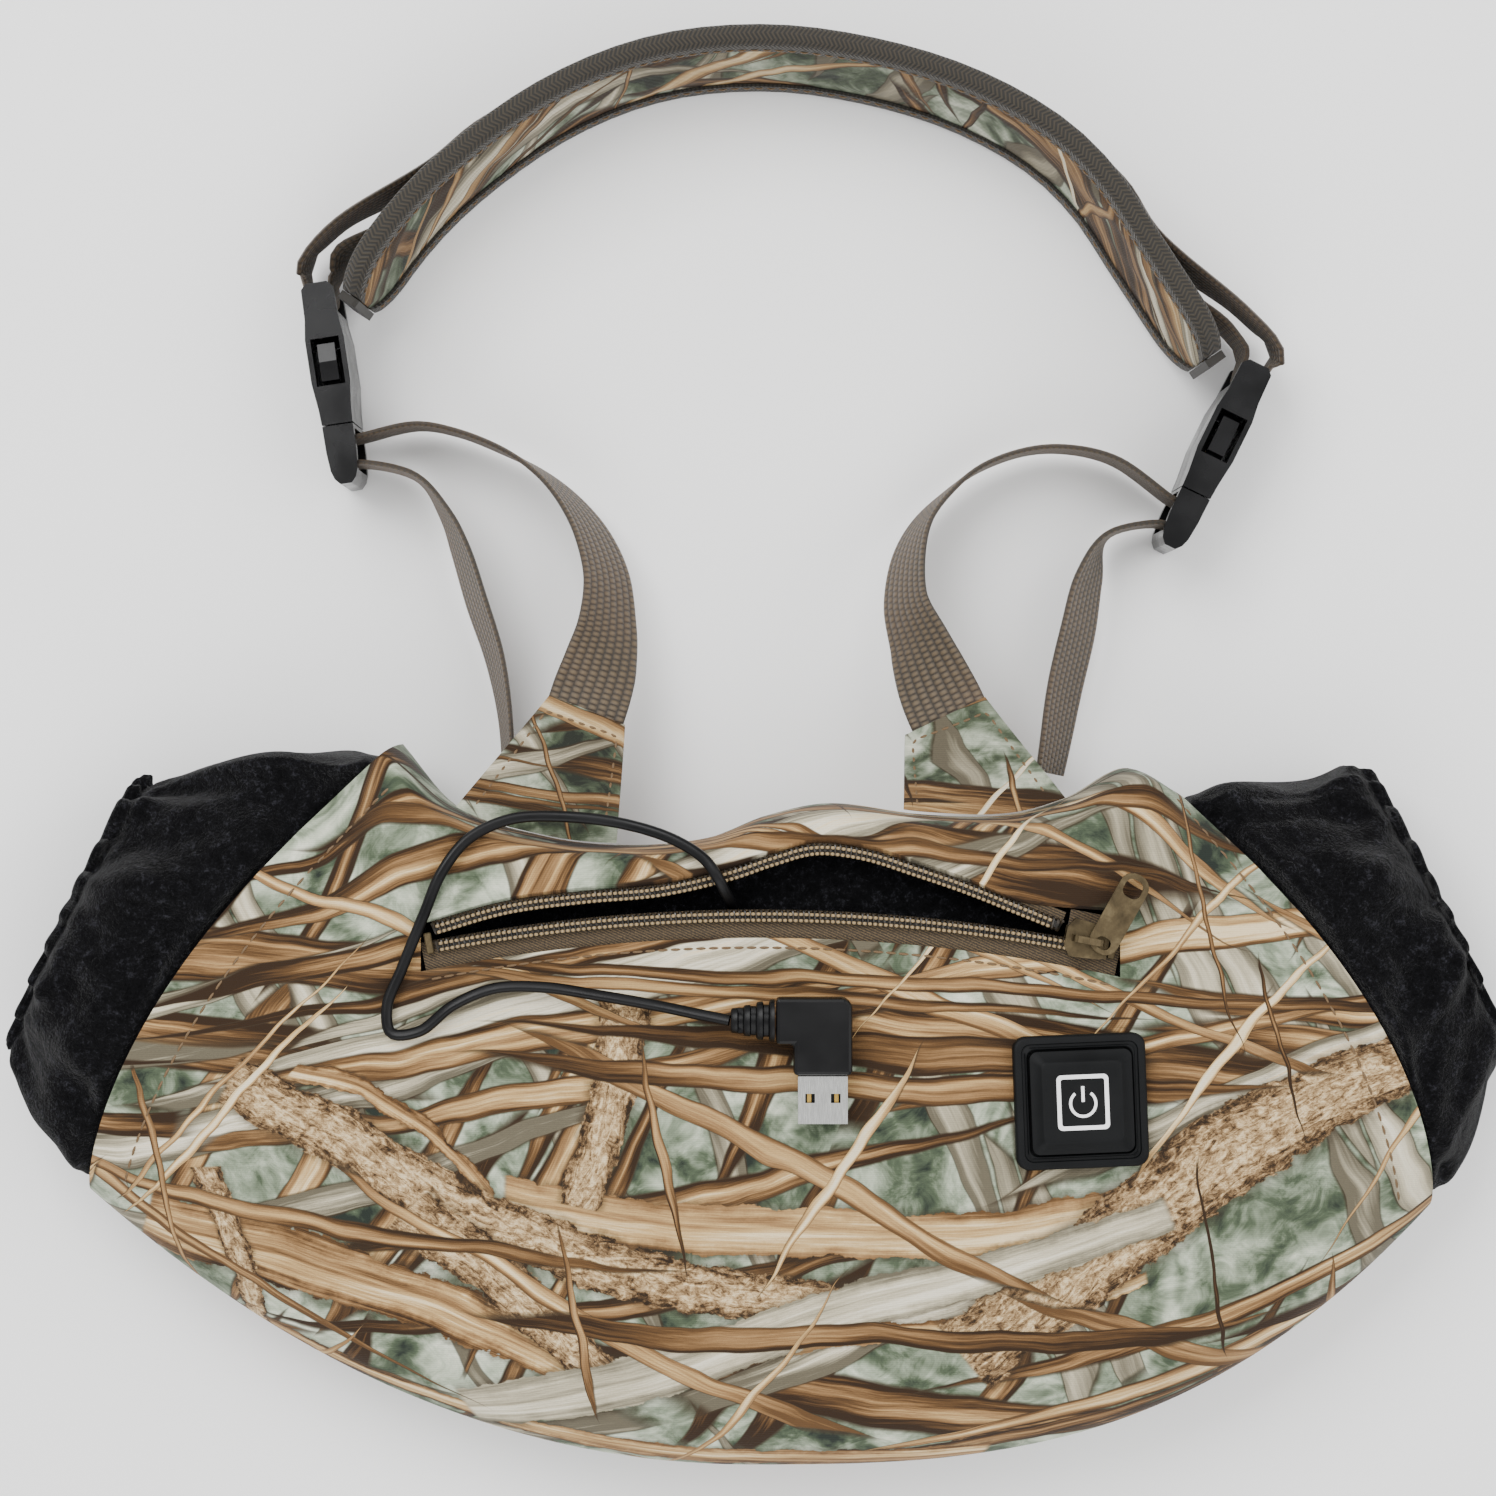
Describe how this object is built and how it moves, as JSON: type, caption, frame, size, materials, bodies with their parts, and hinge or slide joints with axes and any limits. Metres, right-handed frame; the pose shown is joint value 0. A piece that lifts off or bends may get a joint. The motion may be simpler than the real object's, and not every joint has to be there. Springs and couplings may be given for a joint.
{
  "type": "hand warmer muff",
  "caption": "Padded tube muff with fleece cuffs, zipped pocket, heating pad with push switch and USB lead, on a padded belt with side-release buckles.",
  "frame": {"origin": "middle of the muff and belt's outline in plan, at the table they lie on", "axes": "+X along the hand cavity towards the zip's closed end, +Y from the muff towards the belt, +Z out of the front face; the muff lies on its back"},
  "size_m": [0.3768, 0.3589, 0.0645],
  "materials": {
    "aged_brass": "antique, satin",
    "black_acetal": "moulded, semi-gloss",
    "black_fleece": "short-pile fleece",
    "black_rubber": "satin",
    "black_silicone": "satin",
    "camouflage_cloth": "printed softshell cloth, matte",
    "circuit_board": "solder mask",
    "elastic": "knitted elastic",
    "foam": "closed-cell foam",
    "gold_contact": "gold plated",
    "heating_sheet": "flexible film",
    "olive_binding": "herringbone tape",
    "olive_webbing": "ribbed nylon webbing",
    "plated_steel": "nickel plated",
    "wadding": "loose polyester wadding",
    "zip_coil": "nylon coil",
    "zip_tape": "woven tape"
  },
  "bodies": {
    "muff": {"belt_binding_bottom": "olive_binding", "belt_binding_top": "olive_binding", "belt_core": "foam", "belt_cover": "camouflage_cloth", "belt_end_left": "olive_binding", "belt_end_right": "olive_binding", "belt_strap": "olive_webbing", "buckle_female_left": "black_acetal", "buckle_female_right": "black_acetal", "cuff_elastic_left": "elastic", "cuff_elastic_right": "elastic", "cuff_left": "black_fleece", "cuff_right": "black_fleece", "grommet": "black_rubber", "heater_lead": "black_rubber", "heater_pad": "heating_sheet", "lining": "black_fleece", "pocket_bag": "black_fleece", "shell_back": "camouflage_cloth", "shell_front": "camouflage_cloth", "strap_left": "olive_webbing", "strap_right": "olive_webbing", "switch_base": "black_silicone", "switch_board": "circuit_board", "switch_lead": "black_rubber", "tab_left": "camouflage_cloth", "tab_right": "camouflage_cloth", "tact_switch": "plated_steel", "usb_boot": "black_rubber", "usb_cable": "black_rubber", "usb_contact_1": "gold_contact", "usb_contact_2": "gold_contact", "usb_contact_3": "gold_contact", "usb_contact_4": "gold_contact", "usb_moulding": "black_rubber", "usb_shell": "plated_steel", "usb_tongue": "black_rubber", "wadding_back": "wadding", "wadding_front": "wadding", "zip_coil_lower": "zip_coil", "zip_stop_left": "aged_brass", "zip_stop_right": "aged_brass", "zip_tape_lower": "zip_tape"},
    "slider": {"zip_slider": "aged_brass", "zip_crown": "aged_brass"},
    "pull": {"zip_pull": "aged_brass"},
    "lip": {"zip_coil_upper": "zip_coil", "zip_tape_upper": "zip_tape"},
    "key": {"power_key": "black_silicone"},
    "left_half": {"buckle_male_left": "black_acetal"},
    "left_upper_arm": {"latch_upper_left": "black_acetal"},
    "left_lower_arm": {"latch_lower_left": "black_acetal"},
    "right_half": {"buckle_male_right": "black_acetal"},
    "right_upper_arm": {"latch_upper_right": "black_acetal"},
    "right_lower_arm": {"latch_lower_right": "black_acetal"}
  },
  "joints": [
    {"name": "zip_slide", "type": "hinge", "parent": "muff", "child": "slider", "pos_m": [0.00225, -0.461, 0.05], "axis": [0, 0, 1], "range_deg": [0, 10.4]},
    {"name": "zip_lip", "type": "slide", "parent": "muff", "child": "lip", "axis": [0, -1, 0], "range_m": [0, 0.013], "deforming": ["zip_coil_upper", "zip_tape_upper"]},
    {"name": "pull_lift", "type": "hinge", "parent": "slider", "child": "pull", "pos_m": [0.08576, -0.0487, 0.0553], "axis": [0.8746, -0.4848, 0], "range_deg": [0, 35]},
    {"name": "power_key", "type": "slide", "parent": "muff", "child": "key", "axis": [-0.0725, -0.0256, -0.997], "range_m": [0, 0.0006], "stiffness_N_per_m": 1500},
    {"name": "left_release", "type": "slide", "parent": "muff", "child": "left_half", "axis": [0.15, -0.9887, 0], "range_m": [0, 0.024], "deforming": ["strap_left", "latch_upper_left", "latch_lower_left"]},
    {"name": "left_latch_upper", "type": "hinge", "parent": "left_half", "child": "left_upper_arm", "pos_m": [-0.10318, 0.08239, 0.0215], "axis": [-0.9887, -0.15, 0], "range_deg": [0, 12], "stiffness_Nm_per_rad": 0.2},
    {"name": "left_latch_lower", "type": "hinge", "parent": "left_half", "child": "left_lower_arm", "pos_m": [-0.10318, 0.08239, 0.0055], "axis": [0.9887, 0.15, 0], "range_deg": [0, 12], "stiffness_Nm_per_rad": 0.2},
    {"name": "right_release", "type": "slide", "parent": "muff", "child": "right_half", "axis": [-0.44, -0.898, 0], "range_m": [0, 0.024], "deforming": ["strap_right", "latch_upper_right", "latch_lower_right"]},
    {"name": "right_latch_upper", "type": "hinge", "parent": "right_half", "child": "right_upper_arm", "pos_m": [0.11293, 0.06508, 0.0215], "axis": [-0.898, 0.44, 0], "range_deg": [0, 12], "stiffness_Nm_per_rad": 0.2},
    {"name": "right_latch_lower", "type": "hinge", "parent": "right_half", "child": "right_lower_arm", "pos_m": [0.11293, 0.06508, 0.0055], "axis": [0.898, -0.44, 0], "range_deg": [0, 12], "stiffness_Nm_per_rad": 0.2}
  ],
  "couplings": [
    {"joint": "zip_lip", "follows": "zip_slide", "m_per_rad": 0.0716}
  ]
}
